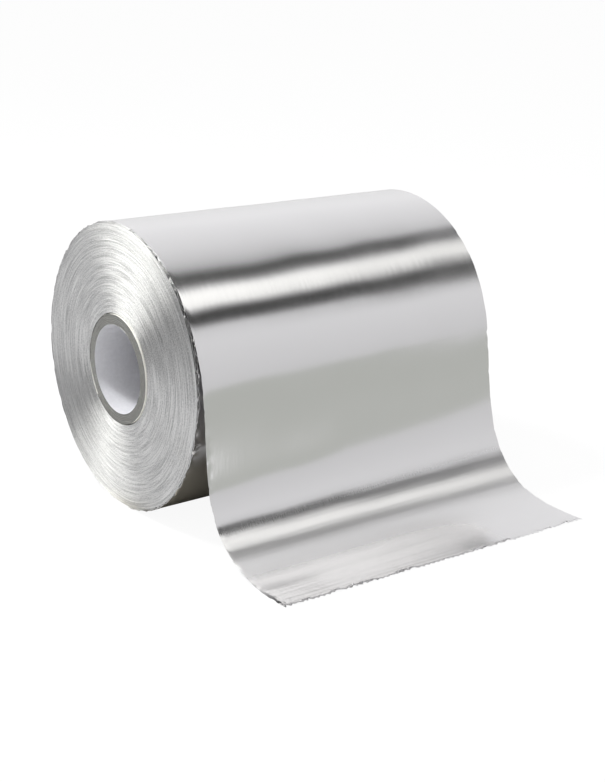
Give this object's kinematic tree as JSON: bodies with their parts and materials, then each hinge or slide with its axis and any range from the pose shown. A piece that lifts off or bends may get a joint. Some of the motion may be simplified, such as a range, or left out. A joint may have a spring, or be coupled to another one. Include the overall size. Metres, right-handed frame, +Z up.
{
  "type": "aluminium foil roll",
  "caption": "Roll of household aluminium foil on a paperboard core, lying on its side, its last turn loose and its toothed tail run out in front.",
  "frame": {"origin": "middle of the core's bore, on the roll's axis", "axes": "+X along the roll's axis, +Z up, the tail comes off the top of the roll and lies towards -Y"},
  "size_m": [0.12, 0.1463, 0.0951],
  "materials": {
    "foil": "bright rolled foil",
    "core_board": "grey wound paperboard"
  },
  "bodies": {
    "root": {"foil": "foil", "core": "core_board"}
  },
  "joints": []
}
